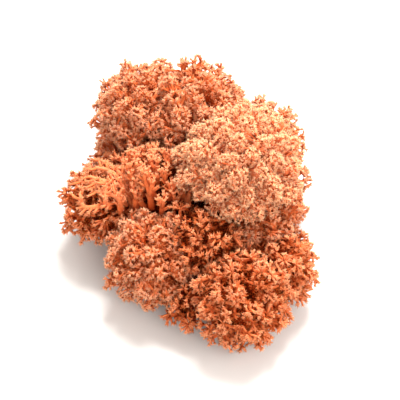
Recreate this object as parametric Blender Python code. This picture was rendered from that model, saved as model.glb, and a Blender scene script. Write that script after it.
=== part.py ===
"""A clump of dyed, preserved reindeer moss, standing on its trimmed stalks.

Reindeer moss is a lichen. A clump is a tangle of podetia: each is one plant, a stalk that forks and ends in
a domed head of short branchlets, much like a floret of cauliflower. Every podetium is one object here.

All podetia lean away from one point under the clump. Planes through that point part their stalks, and two
heads that press against each other meet in the plane where their balls cross, so no podetium runs through
another.

Metres, +Z up. The origin is the middle of the crown stalk's trimmed end, on the plane the clump rests on.
"""

import math

import bmesh
import bpy
import numpy as np
from mathutils import Matrix

MM = 0.001

# Each podetium's head: its centre (x, y, z) and radius in millimetres, and how loose it is, from a close
# dome at 0 to bare fingers at 1. The clump is seen from -Y, 53 degrees up.
PODETIA = {
    "podetium_crown": ((11, 5, 39.5), 22.5, 0.0),
    "podetium_middle": ((-12, 8, 24), 17.5, 1.0),
    "podetium_back": ((-3, 28, 36.5), 19.5, 0.2),
    "podetium_back_left": ((-19.5, 32, 33), 19, 0.2),
    "podetium_back_right": ((16, 23, 29), 17.5, 0.2),
    "podetium_right": ((18, -4, 26), 16.5, 0.3),
    "podetium_front_middle": ((1, -12, 25), 17, 0.8),
    "podetium_front": ((11, -27.5, 16), 19.5, 0.5),
    "podetium_front_left": ((-15, -13, 16), 19.5, 0.3),
    "podetium_front_right": ((21.5, -16.5, 16.5), 17, 0.5),
    "podetium_left": ((-31, 8, 17), 17, 0.6),
    "podetium_low_front": ((-3, -25, 12), 14, 0.8),
    "podetium_low_back_left": ((-22.5, 27, 15.5), 16.5, 0.3),
    "podetium_low_back": ((0, 33, 16.5), 19, 0.3),
    "podetium_low_back_right": ((18.5, 16, 14.5), 17, 0.4),
}
CROWN = "podetium_crown"

# The point that every stalk leans away from lies this far under the resting plane, below the crown.
ROOT_DEPTH = 12 * MM
# The dye takes paler on close heads and deeper on loose ones: each colour up to this looseness.
DYES = {"lichen_pale": (0.15, "#e08c60"), "lichen": (0.45, "#d07a50"), "lichen_deep": (1.0, "#b9623a")}

# Clear space left between two podetia, and the room that a stalk has round its axis.
GAP = 0.3 * MM
STALK_ROOM = 2.2 * MM

# A head's surface: the facets of its core, and the branchlets that stand on those in the open. Both are for
# a close head, and grow by the share named last in a loose one.
FACET_AREA = 5.5 * MM**2
BRANCHLET = 3.0 * MM
LOOSER = 0.8
FLORET_SPACING = 9.0 * MM
FLORET_CREASE = 1.6 * MM
# The underside draws in to this share of the radius, where the forks of the stalk run into it.
UNDERSIDE_SHARE = 0.62
# Branchlets grow where the walls of the cell leave at least this share of the head's free reach, and not on
# the underside, past this cosine from the axis. Below the smaller share, one core point in so many is kept.
OPEN_SHARE = 0.92
BARE_UNDERSIDE = -0.6
FINE_SHARE = 0.78
BARE_EVERY = 5
# A pressed branchlet reaches this share of the way to the wall, or more.
PRESSED_SHARE = 0.94

# The stalk, its forks under the head and the short side branchlets along it.
STALK_RADIUS = 1.25 * MM
STALK_SWAY = 0.5 * MM
FOOT_RADIUS = 1.8 * MM
FOOT_RISE = 1.2 * MM
FORKS = 4
FORK_RADIUS = 0.8 * MM
SIDE_TWIGS = 2
SIDE_TWIG_TRIES = 6
SIDE_TWIG_RADIUS = 0.6 * MM
SIDE_TWIG_LENGTH = 5.5 * MM

GOLDEN_ANGLE = math.pi * (3 - math.sqrt(5))
SEED = 7


def clear_scene():
    for thing in list(bpy.data.objects):
        bpy.data.objects.remove(thing, do_unlink=True)


def linear(colour):
    """A hex colour as the linear red, green, blue and alpha that the shader takes."""
    shares = [int(colour[place : place + 2], 16) / 255 for place in (1, 3, 5)]
    return [share / 12.92 if share <= 0.04045 else ((share + 0.055) / 1.055) ** 2.4 for share in shares] + [1]


def dyed_lichen(name, colour):
    """Matt salmon orange: what the dye leaves on the pale lichen."""
    material = bpy.data.materials.new(name)
    material.use_nodes = True
    shader = material.node_tree.nodes["Principled BSDF"]
    shader.inputs["Base Color"].default_value = linear(colour)
    shader.inputs["Roughness"].default_value = 0.9
    shader.inputs["Metallic"].default_value = 0
    return material


def unit(vectors):
    """Each vector at length 1."""
    vectors = np.asarray(vectors, float)
    return vectors / np.linalg.norm(vectors, axis=-1, keepdims=True)


def sideways(axis):
    """Two unit vectors at right angles to the axis and to each other."""
    across = unit(np.cross(axis, (0.31, 0.17, 0.94) if abs(axis[2]) < 0.9 else (1, 0, 0)))
    return across, np.cross(axis, across)


def spread_directions(count, axis):
    """Evenly spread directions: equal steps along the axis, each a golden angle further round it."""
    step = np.arange(count) + 0.5
    along = 1 - 2 * step / count
    ring = np.sqrt(1 - along**2)
    turn = GOLDEN_ANGLE * step
    across, upright = sideways(axis)
    return (
        np.outer(along, axis)
        + np.outer(ring * np.cos(turn), across)
        + np.outer(ring * np.sin(turn), upright)
    )


class Podetium:
    """One podetium's place: its axis, its head, the cone that its stalk keeps to and its head's cell."""

    def __init__(self, name):
        centre, radius, looseness = PODETIA[name]
        self.name = name
        self.centre = np.array(centre) * MM
        self.radius = radius * MM
        self.looseness = looseness
        self.distance = float(np.linalg.norm(self.centre - ROOT))
        self.axis = (self.centre - ROOT) / self.distance
        self.foot = ROOT - self.axis * ROOT[2] / self.axis[2]

    def part_from(self, others):
        """Sets the walls, each a unit normal that points inwards and how far the wall's plane lies along it."""
        self.others = others
        self.cone = self.cone_walls(others)
        walls = [self.wall_to_head(other) for other in others] + [self.wall_to_stalk(other) for other in others]
        walls.append((np.array((0, 0, 1)), 0))
        self.cell = (np.array([normal for normal, _ in walls]), np.array([place for _, place in walls]))

    def cone_walls(self, others):
        """Planes through the root that part this stalk from the others, halfway between the two axes."""
        normals = unit([self.axis - other.axis for other in others])
        return normals, normals @ ROOT + GAP / 2

    def wall_to_head(self, other):
        """The plane in which two swollen heads meet: that of the circle in which the two balls cross."""
        apart = np.linalg.norm(self.centre - other.centre)
        normal = (self.centre - other.centre) / apart
        from_other = (apart**2 + other.radius**2 - self.radius**2) / (2 * apart)
        return normal, normal @ other.centre + from_other + GAP / 2

    def wall_to_stalk(self, other):
        """The plane that touches another podetium's stalk where it passes nearest to this head."""
        along = np.clip((self.centre - other.foot) @ other.axis, 0, np.linalg.norm(other.centre - other.foot))
        nearest = other.foot + along * other.axis
        normal = unit(self.centre - nearest)
        return normal, normal @ nearest + STALK_ROOM + GAP

    def limit(self, directions):
        """How far one can go from the head's centre in each direction before a wall of its cell."""
        normals, places = self.cell
        closing = -directions @ normals.T
        far = np.where(closing > 1e-6, (normals @ self.centre - places) / np.maximum(closing, 1e-6), np.inf)
        return far.min(axis=1)


def keep_inside(walls, points, margin):
    """The points, pushed back square to any of the walls that they are too near to."""
    points = np.array(points, float)
    for _ in range(12):
        for normal, place in zip(*walls):
            points += np.outer(np.maximum(place + margin - points @ normal, 0), normal)
    return points


def crown_root():
    """The point under the clump, placed so that the crown's stalk meets the resting plane at the origin."""
    crown = np.array(PODETIA[CROWN][0]) * MM
    return np.array([-crown[0], -crown[1], -crown[2]]) * ROOT_DEPTH / crown[2]


def head_reach(podetium, directions):
    """The outside of a head: a ball of bumps, one for each floret, that draws in underneath."""
    florets = max(8, round(4 * math.pi * (podetium.radius / FLORET_SPACING) ** 2))
    centres = spread_directions(florets, podetium.axis)
    nearest = np.arccos(np.clip(directions @ centres.T, -1, 1)).min(axis=1)
    half_floret = FLORET_SPACING / 2 / podetium.radius
    crease = FLORET_CREASE * np.minimum(nearest / half_floret, 1.3) ** 2
    below = np.clip((-directions @ podetium.axis - 0.1) / 0.9, 0, 1)
    taper = 1 - (1 - UNDERSIDE_SHARE) * below**1.5
    return (podetium.radius - crease) * taper


def lies_open(podetium, directions, share):
    """Whether the walls leave the head that share of its reach in each direction, off its underside."""
    unpressed = podetium.limit(directions) > share * head_reach(podetium, directions)
    return unpressed & (directions @ podetium.axis > BARE_UNDERSIDE)


def core_directions(podetium, random):
    """Where the points of the head's core lie: close together in the open and far apart elsewhere."""
    looser = 1 + LOOSER * podetium.looseness
    count = round((4 * math.pi * podetium.radius**2 / (FACET_AREA * looser) + 4) / 2)
    spread = spread_directions(count, podetium.axis)
    spread = unit(spread + random.normal(0, 0.12 * math.sqrt(4 * math.pi / count), spread.shape))
    return spread[lies_open(podetium, spread, FINE_SHARE) | (np.arange(count) % BARE_EVERY == 0)]


def build_head(podetium, random):
    """A faceted core with a branchlet raised on every facet that lies open."""
    bm = bmesh.new()
    for direction in core_directions(podetium, random):
        bm.verts.new(direction)
    bmesh.ops.convex_hull(bm, input=bm.verts[:])
    bmesh.ops.recalc_face_normals(bm, faces=bm.faces[:])
    facets = bm.faces[:]
    grows = lies_open(podetium, unit([facet.calc_center_median() for facet in facets]), OPEN_SHARE)
    poked = bmesh.ops.poke(bm, faces=[facet for facet, wanted in zip(facets, grows) if wanted])
    tips = set(poked["verts"])
    is_tip = np.array([vertex in tips for vertex in bm.verts])

    directions = unit([vertex.co for vertex in bm.verts])
    lean = random.normal(0, 0.25 * BRANCHLET / podetium.radius, directions.shape)
    directions = unit(directions + lean * is_tip[:, None])
    height = np.where(is_tip, random.uniform(0.6, 1.1, len(is_tip)), random.uniform(-0.1, 0.25, len(is_tip)))
    limit = podetium.limit(directions)
    outside = head_reach(podetium, directions)
    reach = outside - BRANCHLET * (1 + LOOSER * podetium.looseness) * (1 - height)
    reach = np.where(limit < outside, limit * random.uniform(PRESSED_SHARE, 1, len(limit)), reach)
    reach = np.minimum(reach, limit)
    for vertex, place in zip(bm.verts, podetium.centre + directions * reach[:, None]):
        vertex.co = place
    return mesh_object(podetium.name, bm)


def mesh_object(name, bm):
    mesh = bpy.data.meshes.new(name)
    bm.to_mesh(mesh)
    bm.free()
    thing = bpy.data.objects.new(name, mesh)
    bpy.context.scene.collection.objects.link(thing)
    return thing


def tube(name, points, radii, sides_step=0):
    """A tapered tube along the points, as a curve made into one closed mesh."""
    curve = bpy.data.curves.new(name, "CURVE")
    curve.dimensions = "3D"
    curve.bevel_depth = 1
    curve.bevel_resolution = sides_step
    curve.use_fill_caps = True
    spline = curve.splines.new("POLY")
    spline.points.add(len(points) - 1)
    for place, point, radius in zip(spline.points, points, radii):
        place.co = (*point, 1)
        place.radius = radius
    line = bpy.data.objects.new(name, curve)
    bpy.context.scene.collection.objects.link(line)
    bpy.context.view_layer.update()
    made = line.evaluated_get(bpy.context.evaluated_depsgraph_get())
    bm = bmesh.new()
    bm.from_mesh(bpy.data.meshes.new_from_object(made))
    bmesh.ops.remove_doubles(bm, verts=bm.verts[:], dist=0.01 * MM)
    bmesh.ops.recalc_face_normals(bm, faces=bm.faces[:])
    bpy.data.objects.remove(line, do_unlink=True)
    return mesh_object(name, bm)


def build_stalk(podetium, random):
    """A stalk that rises from its flat trimmed foot, bends outwards and runs up into the head."""
    foot, axis = podetium.foot, podetium.axis
    reach = np.linalg.norm(podetium.centre - foot)
    across, upright = sideways(axis)
    points = [foot, foot + (0, 0, FOOT_RISE)]
    for share in (0.3, 0.6, 0.9):
        sway = random.uniform(-1, 1, 2) * STALK_SWAY
        points.append(foot + axis * reach * share + sway[0] * across + sway[1] * upright)
    points = np.array(points)
    points[2:] = keep_inside(podetium.cone, points[2:], 1.1 * STALK_RADIUS)
    return tube(podetium.name + "_stalk", points, [FOOT_RADIUS] + [STALK_RADIUS] * 4, sides_step=1)


def build_forks(podetium, random):
    """The first forks of the stalk, which spread from under the head into it."""
    across, upright = sideways(podetium.axis)
    clear = podetium.limit(-podetium.axis[None])[0] - 2 * FORK_RADIUS
    start = podetium.centre - podetium.axis * min(0.85 * podetium.radius, clear)
    forks = []
    for number in range(FORKS):
        turn = 2 * math.pi * (number + random.uniform(-0.2, 0.2)) / FORKS
        outwards = math.cos(turn) * across + math.sin(turn) * upright
        end = podetium.centre + podetium.radius * (0.62 * outwards - 0.25 * podetium.axis)
        end = keep_inside(podetium.cell, [end], 1.5 * FORK_RADIUS)[0]
        forks.append(tube(podetium.name + f"_fork_{number}", (start, end), (FORK_RADIUS * 1.2, FORK_RADIUS * 0.8)))
    return forks


def is_clear(podetium, point):
    """Whether the point is outside every other head."""
    return all(np.linalg.norm(point - other.centre) > other.radius + BRANCHLET / 3 for other in podetium.others)


def build_side_twigs(podetium, random):
    """Short, dead side branchlets along the bare stalk, where there is room for them."""
    across, upright = sideways(podetium.axis)
    bare = np.linalg.norm(podetium.centre - podetium.foot) - UNDERSIDE_SHARE * podetium.radius
    twigs = []
    for number in range(SIDE_TWIG_TRIES):
        turn = 2.4 * number + random.uniform(-0.4, 0.4)
        outwards = math.cos(turn) * across + math.sin(turn) * upright
        start = podetium.foot + podetium.axis * bare * (0.25 + 0.6 * number / SIDE_TWIG_TRIES)
        end = start + SIDE_TWIG_LENGTH * unit(0.75 * outwards + 0.65 * podetium.axis)
        end = keep_inside(podetium.cone, [end], SIDE_TWIG_RADIUS)[0]
        lowest = min(start[2], end[2])
        if len(twigs) < SIDE_TWIGS and lowest > 2 * SIDE_TWIG_RADIUS and is_clear(podetium, end):
            radii = (SIDE_TWIG_RADIUS, SIDE_TWIG_RADIUS * 0.5)
            twigs.append(tube(podetium.name + f"_twig_{number}", (start, end), radii))
    return twigs


def outer_skin(mesh):
    """Takes out the skins of pockets shut in between a fork and the core, so that they are solid."""
    bm = bmesh.new()
    bm.from_mesh(mesh)
    skin, front = set(), [max(bm.verts, key=lambda vertex: vertex.co.z)]
    while front:
        vertex = front.pop()
        if vertex not in skin:
            skin.add(vertex)
            front += [edge.other_vert(vertex) for edge in vertex.link_edges]
    bmesh.ops.delete(bm, geom=[vertex for vertex in bm.verts if vertex not in skin], context="VERTS")
    bm.to_mesh(mesh)
    bm.free()


def join(body, parts):
    """One Boolean union of the body with all of its parts, applied."""
    together = bpy.data.collections.new(body.name + "_parts")
    bpy.context.scene.collection.children.link(together)
    for part in parts:
        bpy.context.scene.collection.objects.unlink(part)
        together.objects.link(part)
    union = body.modifiers.new("union", "BOOLEAN")
    union.operand_type = "COLLECTION"
    union.collection = together
    union.operation = "UNION"
    # EXACT leaves scraps here that hang by one point.
    union.solver = "MANIFOLD"
    bpy.context.view_layer.update()
    made = body.evaluated_get(bpy.context.evaluated_depsgraph_get())
    joined = bpy.data.meshes.new_from_object(made)
    body.modifiers.remove(union)
    outer_skin(joined)
    body.data = joined
    for part in parts:
        bpy.data.objects.remove(part, do_unlink=True)
    bpy.data.collections.remove(together)


def main():
    clear_scene()
    clump = bpy.data.collections.new("reindeer_moss_clump")
    bpy.context.scene.collection.children.link(clump)
    dyes = [(most, dyed_lichen(name, colour)) for name, (most, colour) in DYES.items()]
    podetia = [Podetium(name) for name in PODETIA]
    for number, podetium in enumerate(podetia):
        random = np.random.default_rng(SEED + number)
        podetium.part_from([other for other in podetia if other is not podetium])
        body = build_head(podetium, random)
        parts = [build_stalk(podetium, random)]
        parts += build_forks(podetium, random) + build_side_twigs(podetium, random)
        join(body, parts)
        body.data.transform(Matrix.Translation(-podetium.foot))
        body.location = podetium.foot
        body.data.materials.clear()
        body.data.materials.append(next(dye for most, dye in dyes if podetium.looseness <= most))
        bpy.context.scene.collection.objects.unlink(body)
        clump.objects.link(body)


ROOT = crown_root()
main()
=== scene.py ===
"""A clump of dyed, preserved reindeer moss, grown branchlet by branchlet.

Reindeer moss is a lichen of the Cladonia stellaris kind. Each plant in the clump, a podetium, is a stalk
that forks again and again and ends in a close domed head. The last forks stand in whorls of short points,
which from above look like small stars. A head is grown here the same way: four shells of branching points,
each nearer to the surface than the last, every point joined to the nearest one a shell below it by a
curved tapering branchlet, and a whorl of tips on each point of the two outer shells. The loosest head has
bare fingers instead, and long strands lie over another, both with forks and whorls along them.
"""

import math

import bpy
import numpy as np
from bpy.props import FloatProperty, FloatVectorProperty, IntProperty, PointerProperty
from bpy.types import Operator, Panel, PropertyGroup
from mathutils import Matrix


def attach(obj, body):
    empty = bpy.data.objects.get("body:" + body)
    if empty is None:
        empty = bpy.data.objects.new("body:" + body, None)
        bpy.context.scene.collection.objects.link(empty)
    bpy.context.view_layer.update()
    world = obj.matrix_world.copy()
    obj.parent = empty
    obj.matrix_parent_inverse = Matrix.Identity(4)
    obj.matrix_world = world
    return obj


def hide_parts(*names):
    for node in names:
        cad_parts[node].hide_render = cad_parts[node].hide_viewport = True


bl_info = {
    "name": "Reindeer Moss Clump",
    "version": (1, 0, 0),
    "blender": (4, 5, 0),
    "location": "View3D > Sidebar > Lichen",
    "description": "Grows a clump of dyed reindeer moss and its studio",
    "category": "Add Mesh",
}

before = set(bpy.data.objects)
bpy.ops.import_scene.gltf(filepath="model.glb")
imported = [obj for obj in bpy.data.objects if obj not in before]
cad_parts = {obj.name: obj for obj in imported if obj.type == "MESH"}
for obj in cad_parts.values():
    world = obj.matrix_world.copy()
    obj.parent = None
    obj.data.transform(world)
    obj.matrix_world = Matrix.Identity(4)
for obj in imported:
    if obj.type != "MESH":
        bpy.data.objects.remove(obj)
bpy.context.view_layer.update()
MM = 0.001

# Each podetium's head: its centre (x, y, z) and radius in millimetres, how loose it is, from a close dome
# at 0 to bare fingers at 1, and the dye's finish on it.
PODETIA = {
    "crown": ((11, 5, 39.5), 22.5, 0.0, "lichen_pale"),
    "middle": ((-12, 8, 24), 17.5, 1.0, "lichen_deep"),
    "back": ((-3, 28, 36.5), 19.5, 0.2, "lichen"),
    "back_left": ((-19.5, 32, 33), 19, 0.2, "lichen"),
    "back_right": ((16, 23, 29), 17.5, 0.2, "lichen"),
    "right": ((18, -4, 26), 16.5, 0.3, "lichen"),
    "front_middle": ((1, -12, 25), 17, 0.8, "lichen_deep"),
    "front": ((11, -27.5, 16), 19.5, 0.5, "lichen_deep"),
    "front_left": ((-15, -13, 16), 19.5, 0.3, "lichen"),
    "front_right": ((21.5, -16.5, 16.5), 17, 0.5, "lichen_deep"),
    "left": ((-31, 8, 17), 17, 0.6, "lichen_deep"),
    "low_front": ((-3, -25, 12), 14, 0.8, "lichen_deep"),
    "low_back_left": ((-22.5, 27, 15.5), 16.5, 0.3, "lichen"),
    "low_back": ((0, 33, 16.5), 19, 0.3, "lichen"),
    "low_back_right": ((18.5, 16, 14.5), 17, 0.4, "lichen"),
}
# The podetia that each operator grows. The crown has an operator of its own.
UPPER = ("middle", "back", "back_left", "back_right", "right", "front_middle")
FRONT = ("front", "front_left", "front_right", "left", "low_front")
REAR = ("low_back_left", "low_back", "low_back_right")

# The stalks lean away from a point this far under the resting plane.
ROOT_DEPTH = 12 * MM
# Clear space between two podetia, and the room that a stalk has round its axis.
GAP = 0.3 * MM
STALK_ROOM = 2.2 * MM
# A direction never meets a plane that it closes on more slowly than this.
SLOWEST = 1e-6

# The underside of a head draws in to this share of its radius, and is bare past this cosine from the axis.
UNDERSIDE_SHARE = 0.62
BARE_UNDERSIDE = -0.75
# A head has at least this many florets and lobes, and no branching point nearer to its centre than this
# share of its radius.
FEWEST_BUMPS = 8
HEART_SHARE = 0.3
# A crease is deepest this many half spacings from a bump's middle, and the tips lean this much with it.
CREASE_END = 1.3
CREASE_LEAN = 1.6
# Waves a few florets long, and how far they bend the florets' even spacing.
WAVES = np.array(((4.1, -2.3, 1.7), (1.3, 3.7, -2.9), (-2.6, 1.9, 4.3)))
WAVES_BEND = 0.09
# The close inside of a head: the length of its waves over 2 pi, their depth, and how much deeper it lies
# in a crease between florets.
INSIDE_WAVE = 0.9 * MM
INSIDE_DIP = 0.6 * MM
INSIDE_CREASE = 1.2 * MM
# A neighbour presses where it leaves less than this share of the reach. This share of the branching points
# stays there, and their whorls may cross the wall between the heads this far.
PRESSED_BELOW = 0.86
PRESSED_KEPT = 0.2
PRESSED_PAST = 0.8 * MM
# From one bough of a head to the next, and from one limb.
BOUGH_SPACING = 12 * MM
LIMB_SPACING = 6 * MM
# Length and radius of the blunt tips deep in a head.
STUB_LENGTH = 2.3 * MM
STUB_RADIUS = 0.5 * MM
# Dead branchlets on the side of each stalk.
DEAD_BRANCHLETS = 12

# Bare fingers rise and lean back this way. They start this far under the head's surface: none past these
# cosines from that way and from the head's axis, and none where a neighbour leaves less than this share of
# the radius.
FINGERS_RISE = np.array((0.05, 0.55, 0.83))
FINGERS_DEPTH = 7 * MM
FINGERS_BEHIND = -0.8
FINGERS_UNDER = -0.45
FINGERS_PRESSED = 0.6

# Long bare strands lie over these heads and run this way. They start and end within these angles from it,
# in degrees, and lie side by side between these angles round it, in radians.
STRANDS_RUN = {"left": np.array((-0.75, 0.5, 0.35))}
STRANDS_START = (95, 140)
STRANDS_END = (35, 80)
STRANDS_FAN = (-0.75, 1.3)

# What the lights and the camera face, and half the width of the floor.
AIM = (-0.0015, 0.004, 0.024)
FLOOR_HALF = 3.0
# The soft boxes: name, place, width and power in watts.
LIGHTS = (
    ("key_light", (0.12, 0.42, 0.95), 0.4, 22.0),
    ("fill_light", (0.25, -0.9, 0.85), 0.8, 7.2),
    ("side_light", (0.9, -0.25, 0.6), 0.6, 4.0),
)
# The even light of the room.
ROOM_COLOUR = (1.0, 0.96, 0.92, 1)
ROOM_STRENGTH = 0.9
# Width of the camera's sensor in millimetres.
SENSOR = 36

GOLDEN_ANGLE = math.pi * (3 - math.sqrt(5))
# The area of a cell of a honeycomb over its spacing squared.
HONEYCOMB = 0.87
SEED = 11


def linear(colour):
    """A hex sRGB colour as linear red, green and blue."""
    shares = [int(colour[place : place + 2], 16) / 255 for place in (1, 3, 5)]
    return [share / 12.92 if share <= 0.04045 else ((share + 0.055) / 1.055) ** 2.4 for share in shares]


def length(name, description, millimetres):
    """A length as a setting, with its default in millimetres."""
    return FloatProperty(name=name, description=description, default=millimetres * MM, min=0, unit="LENGTH")


def dye(name, description, colour):
    """A colour as a setting, with its default in hex sRGB."""
    return FloatVectorProperty(
        name=name, description=description, default=linear(colour), size=3, min=0, max=1, subtype="COLOR"
    )


class LichenGrowth(PropertyGroup):
    """Sizes and numbers of the branchlets."""

    whorl_spacing: length("Whorl spacing", "From one whorl of tips to the next on a close head", 1.45)
    tip_length: length("Tip length", "Length of one tip of a whorl", 0.95)
    tip_radius: length("Tip radius", "Thickness of a tip at its root, as a radius", 0.26)
    tips: IntProperty(name="Tips", description="Tips in a whorl", default=6, min=2, max=12)
    floret_spacing: length("Floret spacing", "From one floret of a head to the next", 9.0)
    floret_crease: length("Floret crease", "Depth of the crease between two florets", 4.0)
    lobe_spacing: length("Lobe spacing", "From one lobe of a floret to the next", 4.2)
    lobe_crease: length("Lobe crease", "Depth of the crease between two lobes", 1.4)
    core_depth: length("Core depth", "How far under the tips the branchlets close up", 3.7)
    stalk_radius: length("Stalk radius", "Thickness of a bare stalk, as a radius", 1.25)
    finger_radius: length("Finger radius", "Thickness of a bare finger at its root, as a radius", 0.95)
    finger_length: length("Finger length", "Length of a bare finger", 13)
    finger_spacing: length("Finger spacing", "From one bare finger to the next", 3.9)
    strands: IntProperty(
        name="Strands", description="Bare strands that lie over a loose head", default=17, min=0
    )
    stub_spacing: length("Stub spacing", "From one whorl to the next deep in a head", 2.0)
    tangle: IntProperty(
        name="Tangle", description="Branchlets that tangle round each stalk", default=90, min=0
    )
    pits: FloatProperty(
        name="Pits",
        description="Share of the corners between florets that are open pits",
        default=0.8,
        min=0,
        max=1,
    )


class LichenDye(PropertyGroup):
    """Colours from the tips down into the head. The tips and flanks are the dye's; the inside is partly the
    dye and partly painted shade, and the hollows are painted shade.
    """

    pale_tips: dye("Pale tips", "Tips of the closest head", "#f0aa80")
    # Partly painted shade: taken a little darker than the dye, so that these heads look more shaded than
    # the crown.
    tips: dye("Tips", "Tips of most heads", "#df9a76")
    deep_tips: dye("Deep tips", "Tips of the loose heads", "#e7946a")
    pale_flanks: dye("Pale flanks", "Sides of the branchlets on the closest head", "#d67548")
    flanks: dye("Flanks", "Sides of the branchlets and the bare stalks", "#d06b3b")
    # Partly the dye and partly painted shade deep in a head.
    inside: dye("Inside", "The branchlets deep in a head", "#9c3609")
    # Painted shade: a near black at the bottom of the pits.
    hollow_shade: dye("Hollows", "The bottom of the pits", "#480d00")


class StudioSettings(PropertyGroup):
    """The floor, the light and the camera."""

    elevation: FloatProperty(
        name="Elevation",
        description="How far the camera looks down",
        default=math.radians(53),
        min=0,
        max=math.radians(90),
        subtype="ANGLE",
    )
    distance: FloatProperty(
        name="Distance", description="From the camera to the clump", default=2.0, min=0.2, unit="LENGTH"
    )
    field: length("Field", "Width of the picture at the clump", 127)
    light: FloatProperty(
        name="Light", description="Strength of all the lights together", default=1.12, min=0
    )
    floor: dye("Floor", "Colour of the floor", "#d9d6d2")


def unit(vectors):
    """Each vector at length 1."""
    vectors = np.asarray(vectors, float)
    return vectors / np.linalg.norm(vectors, axis=-1, keepdims=True)


def sideways(axis):
    """Two unit vectors at right angles to the axis and to each other."""
    lead = (0.31, 0.17, 0.94) if abs(axis[2]) < 0.9 else (1, 0, 0)
    across = unit(np.cross(axis, lead))
    return across, np.cross(axis, across)


def spread_directions(count, axis, turned=0.0):
    """Evenly spread directions: equal steps along the axis, each a golden angle further round it."""
    step = np.arange(count) + 0.5
    along = 1 - 2 * step / count
    ring = np.sqrt(1 - along**2)
    turn = GOLDEN_ANGLE * step + turned
    across, upright = sideways(axis)
    return (
        np.outer(along, axis)
        + np.outer(ring * np.cos(turn), across)
        + np.outer(ring * np.sin(turn), upright)
    )


def number_on(radius, spacing, cell=1.0):
    """How many points cover a ball: its area over a cell of this share of the spacing squared."""
    return round(4 * math.pi * radius**2 / (cell * spacing**2))


def ramp(values, low, high):
    """A smooth step from 0 at low to 1 at high: 3s^2 - 2s^3 of the clipped share s."""
    share = np.clip((values - low) / (high - low), 0, 1)
    return share**2 * (3 - 2 * share)


def meeting(room, closing):
    """How far it is to a plane: its distance over the rate at which a direction closes on it, or no end."""
    return np.where(closing > SLOWEST, room / np.maximum(closing, SLOWEST), np.inf)


class Place:
    """Where one podetium stands, and the cell that its neighbours leave to its head."""

    def __init__(self, name):
        centre, radius, self.looseness, self.finish = PODETIA[name]
        crown = np.array(PODETIA["crown"][0]) * MM
        root = -crown * ROOT_DEPTH / crown[2]
        self.centre = np.array(centre) * MM
        self.radius = radius * MM
        self.axis = unit(self.centre - root)
        self.foot = root - self.axis * root[2] / self.axis[2]
        self.seed = SEED + list(PODETIA).index(name)

    def part_from(self, others):
        """Sets the walls of the head's cell, each a unit normal inwards and its plane's place along it.

        Two heads meet in the plane of the circle in which their balls cross. A stalk that passes a head
        is cleared by the plane that touches it there.
        """
        normals, places = [], []
        for other in others:
            apart = np.linalg.norm(self.centre - other.centre)
            normal = (self.centre - other.centre) / apart
            from_other = (apart**2 + other.radius**2 - self.radius**2) / (2 * apart)
            normals.append(normal)
            places.append(normal @ other.centre + from_other + GAP / 2)
            reach = np.linalg.norm(other.centre - other.foot)
            nearest = other.foot + other.axis * np.clip((self.centre - other.foot) @ other.axis, 0, reach)
            normal = unit(self.centre - nearest)
            normals.append(normal)
            places.append(normal @ nearest + STALK_ROOM + GAP)
        self.normals, self.places = np.array(normals), np.array(places)

    def limit(self, directions):
        """How far the neighbours leave room from the head's centre in each direction."""
        room = self.normals @ self.centre - self.places
        return meeting(room, -directions @ self.normals.T).min(axis=1)

    def floor_limit(self, directions):
        """How far one can go from the head's centre in each direction before the resting plane."""
        return meeting(self.centre[2], -directions[:, 2])


def places():
    """Every podetium's place, each parted from the others."""
    named = {name: Place(name) for name in PODETIA}
    for name, place in named.items():
        place.part_from([other for key, other in named.items() if key != name])
    return named


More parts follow.
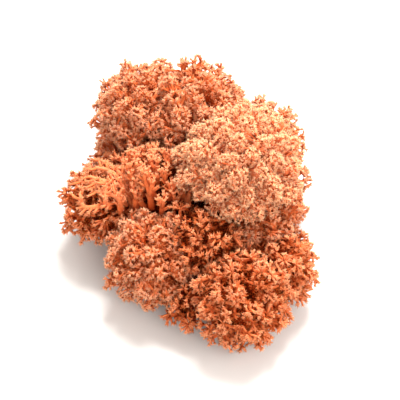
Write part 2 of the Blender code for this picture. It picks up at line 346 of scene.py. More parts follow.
class Head:
    """The shape that a podetium's tips end in: a ball of florets, each of them a dome of smaller lobes."""

    def __init__(self, place, growth, random):
        self.place = place
        self.bumps = []
        for spacing, depth, turned, uneven in (
            (growth.floret_spacing, growth.floret_crease, 0.0, 0.8 * MM),
            (growth.lobe_spacing, growth.lobe_crease, 1.0, 0.25 * MM),
        ):
            count = max(FEWEST_BUMPS, number_on(place.radius, spacing))
            middles = spread_directions(count, place.axis, turned)
            self.bumps.append((middles, random.normal(0, uneven, count), spacing / 2 / place.radius, depth))
        self.phases = random.uniform(0, 6, 3)
        self.core_depth = growth.core_depth * (1 + 1.1 * place.looseness)

    def surface(self, directions):
        """How far the tips reach in each direction, how the surface leans there, and two edge shares.

        The reach is the radius less two creases, between florets and between lobes. Each crease is its
        depth times the square of s, the angle to the nearest bump's middle over half the bumps' spacing,
        and each bump stands a little higher or lower than the rest. The directions are first bent by slow
        sine waves, so that no two bumps are alike. The lean is away from the middles of both bumps, by the
        creases' slopes. The edge shares are s for the floret and for the lobe.
        """
        place = self.place
        bent = unit(directions + WAVES_BEND * np.sin(directions @ WAVES + self.phases))
        reach = np.full(len(directions), place.radius)
        lean = directions.copy()
        shares = []
        for middles, heights, half, depth in self.bumps:
            likeness = bent @ middles.T
            nearest = likeness.argmax(axis=1)
            share = np.arccos(np.clip(likeness.max(axis=1), -1, 1)) / half
            reach += heights[nearest] - depth * np.minimum(share, CREASE_END) ** 2
            lean += CREASE_LEAN * depth / (half**2 * place.radius) * (bent - middles[nearest])
            shares.append(share)
        return reach * self.taper(directions), unit(lean), *shares

    def taper(self, directions):
        """How the ball draws in below: 1 - 0.38 b^1.5, as b grows from 0 at the side to 1 at the stalk."""
        below = np.clip((-directions @ self.place.axis - 0.1) / 0.9, 0, 1)
        return 1 - (1 - UNDERSIDE_SHARE) * below**1.5

    def calm_reach(self, directions):
        """How far the head reaches without creases: the radius less most of a crease, drawn in below."""
        return (self.place.radius - 3 * MM) * self.taper(directions)

    def inside(self, directions):
        """How far the close inside reaches in each direction, and its growth value there.

        It is halfway from the surface to one without creases, less the core's depth, and less again where a
        wave dips and in the creases between florets. The wave is the product of the sines of x, y and z.
        The inside fills the cell up to its walls. Its growth value is painted shade deep in the head: low,
        lower on a loose head and lower still in the creases.
        """
        place = self.place
        reach, _, floret, _ = self.surface(directions)
        crease = ramp(floret, 0.9, 1.2)
        wave = np.sin(directions * place.radius / INSIDE_WAVE + self.phases).prod(axis=1)
        reach = (reach + self.calm_reach(directions)) / 2 - self.core_depth - INSIDE_DIP * wave
        reach = np.maximum(reach - INSIDE_CREASE * crease, HEART_SHARE * place.radius)
        reach = np.minimum(reach, place.limit(directions) - 0.2 * MM)
        reach = np.minimum(reach, place.floor_limit(directions) - 1.0 * MM)
        # Painted shade: the inside is darker on a looser head and in the creases between florets.
        return reach, np.maximum(0.6 - 0.8 * place.looseness - 0.4 * crease, 0.05)


def tube_faces(tubes, rings, sides):
    """The triangles of closed tubes whose points come ring by ring, with the pole of the far end last.

    Each point, the next one on its ring and the two above them make two triangles. A fan from the pole
    closes the far end and a fan from the first point the near end.
    """
    ring, place = np.meshgrid(np.arange(rings - 1) * sides, np.arange(sides), indexing="ij")
    low, low_next = ring + place, ring + (place + 1) % sides
    walls = np.stack([low, low_next, low_next + sides, low, low_next + sides, low + sides], axis=-1)
    last = (rings - 1) * sides
    corner = np.arange(sides)
    tip = np.stack([last + corner, last + (corner + 1) % sides, np.full(sides, rings * sides)], axis=-1)
    fan = np.arange(1, sides - 1)
    root = np.stack([np.zeros_like(fan), fan + 1, fan], axis=-1)
    one = np.concatenate([walls.reshape(-1, 3), tip, root])
    offsets = (rings * sides + 1) * np.arange(tubes)
    return (one[None] + offsets[:, None, None]).reshape(-1, 3)


def skin(lines, radii, shades, sides):
    """Closed tubes, all worked out at once: a ring of points round every point of every line but the last.

    lines is tubes x (rings + 1) x 3, radii gives each ring's radius and shades each point's growth value.
    A ring lies square to its line: radius * (cos a * side + sin a * up) for evenly spaced angles a. The
    line's last point is the pole of the far end.
    """
    tubes, rings = radii.shape
    along = unit(np.gradient(lines, axis=1))[:, :-1]
    chord = unit(lines[:, -1] - lines[:, 0])
    lead = np.eye(3)[np.abs(chord).argmin(axis=1)]
    first = unit(np.cross(chord, lead))[:, None]
    side = unit(first - (first * along).sum(-1, keepdims=True) * along)
    up = np.cross(along, side)
    turn = 2 * math.pi * np.arange(sides) / sides
    round_it = np.cos(turn)[:, None] * side[:, :, None] + np.sin(turn)[:, None] * up[:, :, None]
    points = lines[:, :-1, None] + radii[:, :, None, None] * round_it
    points = np.concatenate([points.reshape(tubes, rings * sides, 3), lines[:, -1:]], axis=1)
    values = np.concatenate([np.repeat(shades[:, :-1], sides, axis=1), shades[:, -1:]], axis=1)
    return points.reshape(-1, 3), tube_faces(tubes, rings, sides), values.reshape(-1)


def branchlets(starts, bends, ends, thick, thin, low, high, sides, rings):
    """Tapering branchlets along (1-t)^2 start + 2t(1-t) bend + t^2 end.

    Their radius goes from thick to thin and their growth value from low to high. The last ring stands just
    short of the end, so that one ring makes a cone and more a blunt branchlet.
    """
    t = np.append(np.linspace(0, 0.93, rings), 1)
    lines = (
        ((1 - t) ** 2)[None, :, None] * starts[:, None]
        + (2 * t * (1 - t))[None, :, None] * bends[:, None]
        + (t**2)[None, :, None] * ends[:, None]
    )
    radii = np.broadcast_to(thick + (thin - thick) * t[:-1], (len(starts), rings))
    shades = np.broadcast_to(low + (high - low) * t, lines.shape[:2])
    return skin(lines, radii, shades, sides)


def fork_from(parents, leans, children, thick, thin, low, high, sides, rings):
    """Branchlets to each child from the nearest parent, which they leave the way that parent leans."""
    gaps = ((children[:, None] - parents[None]) ** 2).sum(-1)
    nearest = gaps.argmin(axis=1)
    starts = parents[nearest]
    span = np.sqrt(gaps[np.arange(len(children)), nearest])[:, None]
    bends = starts + leans[nearest] * span * 0.5
    return branchlets(starts, bends, children, thick, thin, low, high, sides, rings)


def whorls(points, leans, random, tip_length, tip_radius, tips, low, high):
    """A whorl of pointed tips on each point, evenly round its lean and spread 30 to 60 degrees from it."""
    across = unit(np.cross(leans, np.eye(3)[np.abs(leans).argmin(axis=1)]))
    upright = np.cross(leans, across)
    shape = (len(points), tips)
    turn = random.uniform(0, 2 * math.pi, (len(points), 1)) + 2 * math.pi * np.arange(tips) / tips
    turn = turn + random.uniform(-0.3, 0.3, shape)
    spread = random.uniform(math.radians(30), math.radians(60), shape)
    span = tip_length * random.uniform(0.75, 1.15, shape)
    sides = np.cos(turn)[..., None] * across[:, None] + np.sin(turn)[..., None] * upright[:, None]
    reach = np.cos(spread)[..., None] * leans[:, None] + np.sin(spread)[..., None] * sides
    starts = np.repeat(points - leans * tip_radius, tips, axis=0)
    ends = (points[:, None] + reach * span[..., None]).reshape(-1, 3)
    low, high = (np.repeat(np.broadcast_to(shade, (len(points), 1)), tips, axis=0) for shade in (low, high))
    return branchlets(starts, (starts + ends) / 2, ends, tip_radius, 0, low, high, sides=3, rings=1)


def shell(head, growth, random, spacing, depth, jitter, open_edges):
    """Branching points over a head at one depth under its surface, how each leans and how far it is from a
    crease.

    They lie on evenly spread directions, nudged by a fifth of their spacing. Few are kept where a
    neighbour presses and none on the bare underside. Where edges are open, some are missing between the
    lobes and more at the corners between florets, which leaves the pits of a real head. The unshaded share
    is 1 on a floret's top and falls to 0 in its crease, where the whorls are painted darker as shade.
    """
    place = head.place
    count = number_on(place.radius, spacing, HONEYCOMB)
    directions = spread_directions(count, place.axis, random.uniform(0, 6))
    directions = unit(directions + random.normal(0, 0.2 * spacing / place.radius, (count, 3)))
    reach, leans, floret, lobe = head.surface(directions)
    limit = place.limit(directions)
    keep = (limit > PRESSED_BELOW * reach) | (random.random(count) < PRESSED_KEPT)
    along = directions @ place.axis
    keep &= (along > BARE_UNDERSIDE) & (random.random(count) < 1 + 0.8 * np.minimum(along, 0))
    open_corner = growth.pits * (0.35 + 2.0 * place.looseness) * ramp(floret, 0.92, 1.12)
    open_crease = (0.1 + 0.9 * place.looseness) * ramp(lobe, 0.95, 1.15)
    keep &= random.random(count) > open_edges * (open_corner + open_crease)
    reach = np.minimum(reach, limit + PRESSED_PAST)
    reach = np.minimum(reach, place.floor_limit(directions) - 0.2 * MM)
    distance = np.maximum(reach - depth - random.uniform(0, jitter, count), HEART_SHARE * place.radius)
    points = place.centre + directions * distance[:, None]
    # Painted shade: 1 on a floret's top and 0 in its crease, it darkens the whorls in the creases.
    unshaded = 1 - 0.7 * ramp(floret, 0.5, 1.15) - 0.3 * ramp(lobe, 0.5, 1.15)
    return points[keep], leans[keep], unshaded[keep, None]


def grow_head(head, growth, random):
    """The head: shells of branching points, the branchlets that join them and the whorls of tips.

    A looser head has longer and stouter branchlets further apart. On every head the whorls are painted
    darker in the creases as shade, and on a looser head this painted shade is stronger and its inner whorls
    are darker too.
    """
    place = head.place
    loose = place.looseness
    spacing = growth.whorl_spacing * (1 + 0.4 * loose)
    stout = 1 + 0.5 * loose
    tip = growth.tip_length * (1 + 0.4 * loose)
    radius = growth.tip_radius * (1 + 0.3 * loose)
    depth = growth.core_depth * (1 + 0.3 * loose)
    crotch = (place.centre - place.axis * place.radius * 0.4)[None]
    crotch_lean = place.axis[None]

    def layer(spacing, depth, jitter, open_edges):
        """One shell of this head's branching points."""
        return shell(head, growth, random, spacing, depth, jitter, open_edges)

    boughs, bough_leans, _ = layer(BOUGH_SPACING, 2.6 * depth, jitter=1.0 * MM, open_edges=0)
    limbs, limb_leans, _ = layer(LIMB_SPACING, 1.5 * depth, jitter=0.8 * MM, open_edges=0)
    twigs, twig_leans, _ = layer(
        1.75 * spacing, (0.45 + 0.35 * loose) * depth, jitter=0.5 * MM, open_edges=0.8
    )
    stars, star_leans, unshaded = layer(spacing, 0.75 * tip, jitter=0.5 * MM, open_edges=1)
    return [
        fork_from(
            crotch, crotch_lean, boughs, thick=1.1 * MM, thin=0.85 * MM, low=0.3, high=0.3, sides=6, rings=5
        ),
        fork_from(
            boughs,
            bough_leans,
            limbs,
            thick=0.72 * stout * MM,
            thin=0.55 * stout * MM,
            low=0.3,
            high=0.4,
            sides=5,
            rings=4,
        ),
        fork_from(
            limbs,
            limb_leans,
            twigs,
            thick=0.5 * stout * MM,
            thin=0.36 * stout * MM,
            low=0.4,
            high=0.5,
            sides=4,
            rings=3,
        ),
        # Painted shade: these branchlets end lighter on a floret's top than in its crease.
        fork_from(
            twigs,
            twig_leans,
            stars,
            thick=0.33 * stout * MM,
            thin=0.26 * stout * MM,
            low=0.5,
            high=0.55 + 0.2 * unshaded,
            sides=3,
            rings=2,
        ),
        # Painted shade in the pits: the inner whorls are darker the looser the head.
        whorls(
            twigs,
            twig_leans,
            random,
            tip_length=1.5 * tip,
            tip_radius=(1.7 - 0.6 * loose) * radius,
            tips=5,
            low=0.8 - 0.9 * loose,
            high=0.95 - 1.1 * loose,
        ),
        # Painted shade: the tips are darker in the creases, more so on a looser head.
        whorls(
            stars,
            star_leans,
            random,
            tip_length=tip,
            tip_radius=radius,
            tips=growth.tips,
            low=0.8 - 0.8 * loose + (0.1 + 0.4 * loose) * unshaded,
            high=0.92 - 0.95 * loose + (0.08 + 0.95 * loose) * unshaded,
        ),
    ]


def grow_fingers(head, growth, random):
    """Bare fingers, which rise and lean back together, and the tuft of forks and whorls on each.

    They start all round that way but on its far side. A finger runs from its start s towards f, mostly the
    shared way and a little outwards, and ends where |s + f t| meets the ball, t = -s.f + sqrt((s.f)^2 +
    radius^2 - s^2), or at its length.
    """
    place = head.place
    across, upright = sideways(FINGERS_RISE)
    base = place.radius - FINGERS_DEPTH
    count = number_on(base, growth.finger_spacing, HONEYCOMB)
    directions = spread_directions(count, FINGERS_RISE, random.uniform(0, 6))
    directions = unit(directions + random.normal(0, 0.22 * growth.finger_spacing / base, (count, 3)))
    keep = (directions @ place.axis > FINGERS_UNDER) & (directions @ FINGERS_RISE > FINGERS_BEHIND)
    keep &= place.limit(directions) > FINGERS_PRESSED * place.radius
    directions = directions[keep]
    count = len(directions)
    from_centre = directions * (base + random.uniform(-1.5, 1.5, (count, 1)) * MM)
    ways = unit(FINGERS_RISE + 0.35 * directions + random.normal(0, 0.2, (count, 3)))
    along = (from_centre * ways).sum(-1, keepdims=True)
    square = along**2 + (place.radius - 1 * MM) ** 2 - (from_centre**2).sum(-1, keepdims=True)
    room = -along + np.sqrt(square)
    span = np.minimum(room, growth.finger_length * random.uniform(0.7, 1.1, (count, 1)))
    ends = from_centre + ways * span
    far = np.linalg.norm(ends, axis=1)
    ends *= np.minimum(1, (place.limit(unit(ends)) - 0.5 * MM) / far)[:, None]
    starts = place.centre + from_centre
    ends = place.centre + ends
    thick = growth.finger_radius * random.uniform(0.75, 1.3, (count, 1))
    forks = starts + (ends - starts) * random.uniform(0.35, 0.6, (count, 1)) + 0.12 * directions * span
    forks[:, 2] = np.maximum(forks[:, 2], 2 * MM)
    bends = (starts + forks) / 2 + random.normal(0, 0.1, (count, 3)) * span
    parts = [branchlets(starts, bends, forks, thick, 0.8 * thick, low=0.36, high=0.5, sides=7, rings=5)]

    def sprout(roots, middle, reach, slant, many, thick, low, sides, rings):
        """Branchlets that leave each root evenly round the way to its end, and where they end and lean."""
        turn = random.uniform(0, 6, (len(roots), 1)) + 2 * math.pi * np.arange(many) / many
        round_it = np.cos(turn)[..., None] * across + np.sin(turn)[..., None] * upright
        leans = unit(slant * round_it + middle[:, None]).reshape(-1, 3)
        roots, thick = np.repeat(roots, many, axis=0), np.repeat(thick, many, axis=0)
        tops = roots + leans * np.repeat(reach, many, axis=0) * random.uniform(0.75, 1.15, (len(roots), 1))
        leans = unit(leans + np.repeat(middle, many, axis=0))
        bends = (roots + tops) / 2 + (unit(tops - roots) - leans) * 0.6 * MM
        parts.append(
            branchlets(roots, bends, tops, 0.8 * thick, 0.5 * thick, low, low + 0.12, sides, rings)
        )
        return tops, leans, 0.6 * thick

    rest = np.linalg.norm(ends - forks, axis=1, keepdims=True)
    tops, leans, thin = sprout(
        forks, ways, rest, slant=0.33, many=3, thick=thick, low=0.5, sides=6, rings=5
    )
    short = np.full((len(tops), 1), 1.7 * MM)
    tufts, tuft_leans, _ = sprout(
        tops, leans, short, slant=0.7, many=3, thick=thin, low=0.6, sides=5, rings=3
    )
    nubs = np.concatenate([tops - leans * 2.5 * MM, tops - leans * 4.5 * MM, forks - ways * 2 * MM])
    nub_ways = np.concatenate([leans, leans, ways])
    thin = np.concatenate([thin, thin, thick * 0.6])
    short = np.full((len(nubs), 1), 2.2 * MM)
    knobs, knob_leans, _ = sprout(
        nubs, nub_ways, short, slant=1.3, many=1, thick=thin, low=0.52, sides=4, rings=3
    )
    tip, radius = growth.tip_length, growth.tip_radius * 1.1
    parts.append(whorls(tufts, tuft_leans, random, tip, radius, tips=5, low=0.66, high=0.95))
    parts.append(whorls(knobs, knob_leans, random, tip, radius, tips=4, low=0.6, high=0.8))
    return parts


def grow_strands(head, way, growth, random):
    """Long bare strands that lie over a loose head and all run one way, with side branches and whorls.

    Each strand is a meridian of the head round that way. Its point at the angle a from the way and b round
    it is centre + reach * (cos a * way + sin a * (cos b * up + sin b * across)): a falls from the strand's
    start to its end, b sways, and the reach climbs from under the whorls to just over them.
    """
    place = head.place
    count, rings = growth.strands, 10
    way = unit(way)
    up = unit(np.array((0, 0, 1)) - way[2] * way)
    across = np.cross(way, up)
    t = np.linspace(0, 1, rings + 1)
    first = random.uniform(*STRANDS_START, (count, 1))
    last = random.uniform(*STRANDS_END, (count, 1))
    away = np.radians(first + (last - first) * t)[..., None]
    turn = np.linspace(*STRANDS_FAN, count)[:, None] + random.normal(0, 0.13, (count, 1))
    sway = random.uniform(3, 6, (count, 1)) * t + random.uniform(0, 6, (count, 1))
    turn = (turn + 0.16 * np.sin(sway))[..., None]
    outwards = np.cos(away) * way + np.sin(away) * (np.cos(turn) * up + np.sin(turn) * across)
    level = outwards.reshape(-1, 3)
    climb = (3.8 * ramp(t, 0.0, 0.5) - 2.0) * MM + random.uniform(-1.0, 0.8, (count, 1)) * MM
    reach = head.calm_reach(level).reshape(count, -1) + climb
    reach = np.minimum(reach, place.limit(level).reshape(count, -1))
    reach = np.minimum(reach, place.floor_limit(level).reshape(count, -1) - 1.5 * MM)
    lines = place.centre + outwards * reach[..., None]
    thick = growth.finger_radius * random.uniform(0.55, 1.0, (count, 1))
    shades = np.broadcast_to(0.5 + 0.3 * t, (count, rings + 1))
    strands = skin(lines, thick * (1 - 0.35 * t[:-1]), shades, sides=7)

    forks = np.arange(2, rings)
    along = unit(lines[:, forks + 1] - lines[:, forks - 1])
    beside = np.cross(along, outwards[:, forks]) * random.choice((-1, 1), (count, len(forks), 1))
    leans = unit(0.5 * outwards[:, forks] + 0.8 * beside + 0.8 * along).reshape(-1, 3)
    roots = lines[:, forks].reshape(-1, 3)
    tops = roots + leans * random.uniform(1.6, 3.6, (len(roots), 1)) * MM
    bends = (roots + tops) / 2 + random.normal(0, 0.3 * MM, roots.shape)
    knob_leans = unit(outwards[:, forks] - 0.6 * beside).reshape(-1, 3)
    ends, end_leans = lines[:, -1], unit(lines[:, -1] - lines[:, -3])
    tip, radius = growth.tip_length * 1.2, growth.tip_radius * 1.1
    return [
        strands,
        branchlets(roots, bends, tops, 0.5 * MM, 0.35 * MM, low=0.55, high=0.7, sides=5, rings=3),
        whorls(tops, leans, random, tip, radius, tips=5, low=0.65, high=0.95),
        whorls(roots, knob_leans, random, 1.7 * MM, 0.34 * MM, tips=3, low=0.55, high=0.85),
        whorls(ends, end_leans, random, 2.0 * MM, 0.4 * MM, tips=6, low=0.65, high=0.95),
    ]


def core(head):
    """The close inside of a head: a lumpy ball, as rings of points about the head's axis.

    The rings stand in even steps of the angle from the axis, from nearly pi at the stalk to nearly 0 on
    top, and a ring's points in even steps round it, each as far out as the head's inside reaches. The last
    ring's middle is the pole.
    """
    place = head.place
    rows, columns, pole_angle = 44, 72, 0.02
    angle = np.linspace(math.pi - pole_angle, pole_angle, rows)[:, None, None]
    turn = 2 * math.pi * np.arange(columns) / columns
    across, upright = sideways(place.axis)
    ring = np.cos(turn)[:, None] * across + np.sin(turn)[:, None] * upright
    directions = (np.cos(angle) * place.axis + np.sin(angle) * ring[None]).reshape(-1, 3)
    reach, values = head.inside(directions)
    points = place.centre + directions * reach[:, None]
    pole = points[-columns:].mean(axis=0)
    vertices = np.concatenate([points, pole[None]])
    return vertices, tube_faces(1, rows, columns), np.append(values, values[-columns:].mean())


def stubs(head, growth, random):
    """Short blunt whorls all over the close inside, which show at the bottom of the pits."""
    place = head.place
    count = number_on(place.radius, growth.stub_spacing)
    directions = spread_directions(count, place.axis, random.uniform(0, 6))
    directions = unit(directions + random.normal(0, 0.25 * growth.stub_spacing / place.radius, (count, 3)))
    reach, values = head.inside(directions)
    keep = (directions @ place.axis > -0.9) & (reach < place.floor_limit(directions) - 2 * MM)
    points = place.centre + (directions * (reach[:, None] - 0.1 * MM))[keep]
    low = values[keep, None]
    return whorls(
        points, directions[keep], random, STUB_LENGTH, STUB_RADIUS, tips=3, low=low, high=low + 0.22
    )


def stalk_line(place, random, rings):
    """The stalk's middle line: straight up from its trimmed end, then along the axis with a double sway."""
    across, upright = sideways(place.axis)
    share = np.linspace(0, 1, rings)
    reach = np.linalg.norm(place.centre - place.foot) * 0.85
    phases = random.uniform(0, 6, 2)
    sway = 0.35 * MM * ramp(share, 0.0, 0.4)
    line = place.foot + share[:, None] * reach * place.axis
    one_way = (sway * np.sin(5 * share + phases[0]))[:, None] * across
    other_way = (sway * np.sin(7 * share + phases[1]))[:, None] * upright
    line += one_way + other_way
    straight = place.foot + share[:, None] * reach * np.array((0, 0, 1))
    blend = ramp(share, 0.0, 0.12)[:, None]
    return straight * (1 - blend) + line * blend


def grow_stalk(place, growth, random):
    """The bare stalk with its flared trimmed end, the dead branchlets on its side and the tangle round it.

    A dead branchlet starts on the bare part of the stalk, and is shorter the nearer that is to the ground.
    """
    rings = 26
    line = stalk_line(place, random, rings + 1)
    share = np.linspace(0, 1, rings)
    lumps = 1 + 0.1 * np.sin(23 * share + random.uniform(0, 6)) + 0.07 * np.sin(41 * share)
    flare = 0.45 * np.exp(-share * 14)
    radii = growth.stalk_radius * (lumps + flare)
    stalk = skin(line[None], radii[None], np.full((1, rings + 1), 0.42), sides=12)

    bare = line[4 : int(rings * 0.8)]
    across, upright = sideways(place.axis)
    starts = bare[random.integers(0, len(bare), DEAD_BRANCHLETS)]
    turn = GOLDEN_ANGLE * np.arange(DEAD_BRANCHLETS)
    outwards = np.cos(turn)[:, None] * across + np.sin(turn)[:, None] * upright
    leans = unit(0.8 * outwards + 0.7 * place.axis)
    ends = starts + leans * random.uniform(3, 5.5, (DEAD_BRANCHLETS, 1)) * MM
    ends = starts + (ends - starts) * np.clip((starts[:, 2:] - 0.8 * MM) / (2 * MM), 0.0, 1.0)
    bends = starts + outwards * 1.8 * MM
    kept = ends[:, 2] > 1.0 * MM
    starts, bends, ends, leans = starts[kept], bends[kept], ends[kept], leans[kept]
    tip, radius = growth.tip_length, growth.tip_radius
    return [
        stalk,
        branchlets(starts, bends, ends, 0.5 * MM, 0.32 * MM, low=0.4, high=0.6, sides=5, rings=4),
        whorls(ends, leans, random, tip, radius, tips=3, low=0.55, high=0.85),
        tangle_round(line, place, growth.tangle, random),
    ]


def tangle_round(line, place, count, random):
    """Crossing branchlets all round a stalk, so many that nobody can look through under the heads.

    They start on the stalk's upper two thirds and run 4 to 11 mm outwards, more of them upwards than down.
    """
    rings = len(line) - 1
    across, upright = sideways(place.axis)
    starts = line[random.integers(int(rings * 0.3), int(rings * 0.95), count)]
    turn = random.uniform(0, 2 * math.pi, (count, 1))
    outwards = np.cos(turn) * across + np.sin(turn) * upright
    rise = random.uniform(-0.3, 0.8, (count, 1))
    reach = random.uniform(4, 11, (count, 1))
    ends = starts + (outwards + rise * place.axis) * reach * MM
    ends[:, 2] = np.maximum(ends[:, 2], random.uniform(2, 6, count) * MM)
    bends = (starts + ends) / 2 + random.normal(0, 1.2 * MM, (count, 3))
    # Their low growth value paints them dark, as shade under the heads.
    return branchlets(starts, bends, ends, 0.6 * MM, 0.45 * MM, low=0.2, high=0.3, sides=4, rings=3)


def mesh_of(name, parts):
    """One mesh of all the parts, with the growth value of each point as an attribute."""
    start, vertices, faces, values = 0, [], [], []
    for points, triangles, growth in parts:
        vertices.append(points)
        faces.append(triangles + start)
        values.append(growth)
        start += len(points)
    vertices, faces, values = np.concatenate(vertices), np.concatenate(faces), np.concatenate(values)
    vertices[:, 2] = np.maximum(vertices[:, 2], 0)
    mesh = bpy.data.meshes.new(name)
    mesh.vertices.add(len(vertices))
    mesh.loops.add(3 * len(faces))
    mesh.polygons.add(len(faces))
    mesh.vertices.foreach_set("co", vertices.astype(np.float32).ravel())
    mesh.loops.foreach_set("vertex_index", faces.astype(np.int32).ravel())
    mesh.polygons.foreach_set("loop_start", 3 * np.arange(len(faces), dtype=np.int32))
    mesh.update(calc_edges=True)
    # The growth value: pale at the dry tips, darker down into the head, partly the dye and partly painted
    # shade.
    mesh.attributes.new("growth", "FLOAT", "POINT").data.foreach_set("value", values.astype(np.float32))
    mesh.shade_smooth()
    return mesh


def grow_podetium(context, name, named):
    """Grows one podetium in place of its plain solid."""
    growth = context.scene.lichen_growth
    place = named[name]
    random = np.random.default_rng(place.seed)
    head = Head(place, growth, random)
    parts = [core(head), stubs(head, growth, random)]
    if place.looseness < 1:
        parts += grow_head(head, growth, random)
    else:
        parts += grow_fingers(head, growth, random)
    parts += grow_stalk(place, growth, random)
    if name in STRANDS_RUN:
        parts += grow_strands(head, STRANDS_RUN[name], growth, random)
    piece = bpy.data.objects.new("lichen_" + name, mesh_of("lichen_" + name, parts))
    context.scene.collection.objects.link(piece)
    piece.data.materials.append(dyed_lichen(context.scene.lichen_dye, place.finish))
    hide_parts("podetium_" + name)
    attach(piece, "root")


def node(tree, kind, settings=(), links=()):
    """Adds a node, with its settings and input values by name, and links its inputs to other sockets."""
    made = tree.nodes.new(kind)
    for key, value in dict(settings).items():
        if isinstance(key, str) and hasattr(made, key):
            setattr(made, key, value)
        else:
            made.inputs[key].default_value = value
    for key, socket in dict(links).items():
        tree.links.new(socket, made.inputs[key])
    return made


def colour_stops(made, stops):
    """Sets a colour ramp's stops: (place, linear colour)."""
    band = made.color_ramp
    while len(band.elements) < len(stops):
        band.elements.new(0.5)
    for element, (place, colour) in zip(band.elements, stops):
        element.position = place
        element.color = (*colour, 1)


def dyed_lichen(colours, finish):
    """Preserved lichen: matt, slightly velvety, dyed through and palest at the tips.

    The lichen has no skin, only felted fungal threads, so it scatters light softly and has no gloss. The
    colour follows the growth value: the dry tips stay pale, and the darker colours down into the head are
    partly the dye and partly painted shade, darkest in the hollows.
    """
    name = "dyed_" + finish
    if name in bpy.data.materials:
        return bpy.data.materials[name]
    tips, flanks = {
        "lichen_pale": (colours.pale_tips, colours.pale_flanks),
        "lichen": (colours.tips, colours.flanks),
        "lichen_deep": (colours.deep_tips, colours.flanks),
    }[finish]
    material = bpy.data.materials.new(name)
    material.use_nodes = True
    tree = material.node_tree
    shader = tree.nodes["Principled BSDF"]
    shader.inputs["Roughness"].default_value = 0.88
    shader.inputs["IOR"].default_value = 1.4
    shader.inputs["Specular IOR Level"].default_value = 0.12
    shader.inputs["Subsurface Weight"].default_value = 0.4
    shader.inputs["Subsurface Radius"].default_value = (1.0, 0.6, 0.4)
    shader.inputs["Subsurface Scale"].default_value = 0.5 * MM

    # Patches that took more or less dye, specks about as wide as a whorl, and the felted surface, drawn far
    # coarser than its real threads so that it shows.
    patch_size, speck_size, felt_size = 14 * MM, 1.6 * MM, 0.25 * MM
    patch_shift = 0.3
    place = node(tree, "ShaderNodeTexCoord").outputs["Object"]
    growth = node(tree, "ShaderNodeAttribute", {"attribute_name": "growth"}).outputs["Fac"]
    patches = node(tree, "ShaderNodeTexNoise", {"Scale": 1 / patch_size, "Detail": 2.0}, {"Vector": place})
    shifted = node(
        tree,
        "ShaderNodeMath",
        {"operation": "MULTIPLY_ADD", 1: patch_shift},
        {0: patches.outputs["Fac"], 2: growth},
    )
    depth = node(
        tree, "ShaderNodeMath", {"operation": "SUBTRACT", 1: patch_shift / 2}, {0: shifted.outputs[0]}
    )
    band = node(tree, "ShaderNodeValToRGB", links={"Fac": depth.outputs[0]})
    # Darker stops down into the head: partly the dye, partly painted shade, and painted shade in the
    # hollows.
    colour_stops(
        band,
        (
            (0.0, colours.hollow_shade),
            (0.3, colours.inside),
            (0.55, flanks),
            (0.8, tuple(0.35 * flank + 0.65 * tip for flank, tip in zip(flanks, tips))),
            (1.0, tips),
        ),
    )
    specks = node(tree, "ShaderNodeTexNoise", {"Scale": 1 / speck_size, "Detail": 3.0}, {"Vector": place})
    lights = node(
        tree,
        "ShaderNodeMapRange",
        {"From Min": 0.3, "From Max": 0.7, "To Min": 0.82, "To Max": 1.12},
        {"Value": specks.outputs["Fac"]},
    )
    speckled = node(
        tree, "ShaderNodeHueSaturation", links={"Color": band.outputs["Color"], "Value": lights.outputs[0]}
    )
    tree.links.new(speckled.outputs["Color"], shader.inputs["Base Color"])
    felt = node(tree, "ShaderNodeTexNoise", {"Scale": 1 / felt_size, "Detail": 2.0}, {"Vector": place})
    bump = node(
        tree, "ShaderNodeBump", {"Strength": 0.4, "Distance": 0.05 * MM}, {"Height": felt.outputs["Fac"]}
    )
    tree.links.new(bump.outputs["Normal"], shader.inputs["Normal"])
    return material


def painted_board(settings):
    """Matt white-painted board: nearly even, with a faint cloudiness."""
    material = bpy.data.materials.new("painted_board")
    material.use_nodes = True
    tree = material.node_tree
    shader = tree.nodes["Principled BSDF"]
    shader.inputs["Roughness"].default_value = 0.7
    cloud_size = 1 / 3
    place = node(tree, "ShaderNodeTexCoord").outputs["Object"]
    cloud = node(tree, "ShaderNodeTexNoise", {"Scale": 1 / cloud_size, "Detail": 2.0}, {"Vector": place})
    pale = tuple(settings.floor)
    tone = node(tree, "ShaderNodeValToRGB", links={"Fac": cloud.outputs["Fac"]})
    colour_stops(tone, ((0.3, tuple(0.96 * share for share in pale)), (0.7, pale)))
    tree.links.new(tone.outputs["Color"], shader.inputs["Base Color"])
    return material


def soft_light(context, name, place, width, power):
    """A square soft box that faces the clump."""
    lamp = bpy.data.lights.new(name, "AREA")
    lamp.shape = "SQUARE"
    lamp.size = width
    lamp.energy = power
    light = bpy.data.objects.new(name, lamp)
    light.location = place
    away = unit(np.array(place) - np.array(AIM))
    light.rotation_euler = (math.acos(away[2]), 0, math.atan2(away[0], -away[1]))
    context.scene.collection.objects.link(light)


class LICHEN_OT_crown(Operator):
    """Grow the crown, the tallest and closest podetium"""

    bl_idname = "lichen.crown"
    bl_label = "Crown podetium"

    def execute(self, context):
        grow_podetium(context, "crown", places())
        return {"FINISHED"}


class LICHEN_OT_upper(Operator):
    """Grow the podetia that fill the top of the clump round the crown"""

    bl_idname = "lichen.upper"
    bl_label = "Upper podetia"

    def execute(self, context):
        named = places()
        for name in UPPER:
            grow_podetium(context, name, named)
        return {"FINISHED"}


class LICHEN_OT_front(Operator):
    """Grow the low podetia at the front and left"""

    bl_idname = "lichen.front"
    bl_label = "Front podetia"

    def execute(self, context):
        named = places()
        for name in FRONT:
            grow_podetium(context, name, named)
        return {"FINISHED"}


class LICHEN_OT_rear(Operator):
    """Grow the low podetia at the back"""

    bl_idname = "lichen.rear"
    bl_label = "Rear podetia"

    def execute(self, context):
        named = places()
        for name in REAR:
            grow_podetium(context, name, named)
        return {"FINISHED"}


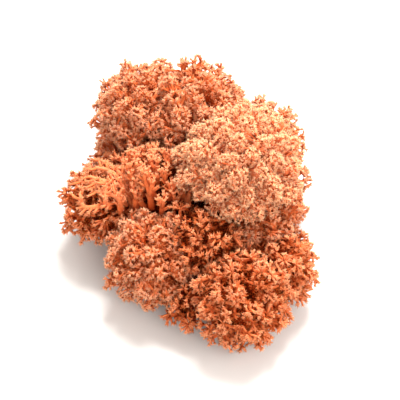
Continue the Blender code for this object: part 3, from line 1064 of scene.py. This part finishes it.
class LICHEN_OT_stage(Operator):
    """Lay the pale floor, hang the soft lights and set up the camera"""

    bl_idname = "lichen.stage"
    bl_label = "Stage"

    def execute(self, context):
        settings = context.scene.lichen_studio
        half = FLOOR_HALF
        corners = [(-half, -half, 0), (half, -half, 0), (half, half, 0), (-half, half, 0)]
        mesh = bpy.data.meshes.new("floor")
        mesh.from_pydata(corners, [], [(0, 1, 2, 3)])
        mesh.materials.append(painted_board(settings))
        floor = bpy.data.objects.new("floor", mesh)
        context.scene.collection.objects.link(floor)

        for name, place, width, power in LIGHTS:
            soft_light(context, name, place, width, power * settings.light)

        world = bpy.data.worlds.new("studio")
        world.use_nodes = True
        background = world.node_tree.nodes["Background"]
        background.inputs["Color"].default_value = ROOM_COLOUR
        background.inputs["Strength"].default_value = ROOM_STRENGTH * settings.light
        context.scene.world = world
        context.scene.view_settings.view_transform = "Standard"

        lens = bpy.data.cameras.new("camera")
        lens.lens = SENSOR * settings.distance / settings.field
        lens.clip_end = 20
        camera = bpy.data.objects.new("camera", lens)
        down = settings.elevation
        away = np.array((0, -math.cos(down), math.sin(down)))
        camera.location = np.array(AIM) + settings.distance * away
        camera.rotation_euler = (math.pi / 2 - down, 0, 0)
        context.scene.collection.objects.link(camera)
        context.scene.camera = camera
        return {"FINISHED"}


class LICHEN_PT_clump(Panel):
    """Lists the steps and the settings"""

    bl_label = "Reindeer Moss Clump"
    bl_space_type = "VIEW_3D"
    bl_region_type = "UI"
    bl_category = "Lichen"

    def draw(self, context):
        for step in STEPS:
            self.layout.operator(step.bl_idname)
        scene = context.scene
        for settings in (scene.lichen_growth, scene.lichen_dye, scene.lichen_studio):
            box = self.layout.box()
            for name in settings.bl_rna.properties.keys():
                if name not in ("rna_type", "name"):
                    box.prop(settings, name)


STEPS = (LICHEN_OT_crown, LICHEN_OT_upper, LICHEN_OT_front, LICHEN_OT_rear, LICHEN_OT_stage)
CLASSES = (LichenGrowth, LichenDye, StudioSettings, *STEPS, LICHEN_PT_clump)


def register():
    for each in CLASSES:
        bpy.utils.register_class(each)
    bpy.types.Scene.lichen_growth = PointerProperty(type=LichenGrowth)
    bpy.types.Scene.lichen_dye = PointerProperty(type=LichenDye)
    bpy.types.Scene.lichen_studio = PointerProperty(type=StudioSettings)


def unregister():
    del bpy.types.Scene.lichen_studio
    del bpy.types.Scene.lichen_dye
    del bpy.types.Scene.lichen_growth
    for each in reversed(CLASSES):
        bpy.utils.unregister_class(each)


def main():
    register()
    bpy.ops.lichen.crown()
    bpy.ops.lichen.upper()
    bpy.ops.lichen.front()
    bpy.ops.lichen.rear()
    bpy.ops.lichen.stage()


if __name__ == "__main__":
    main()
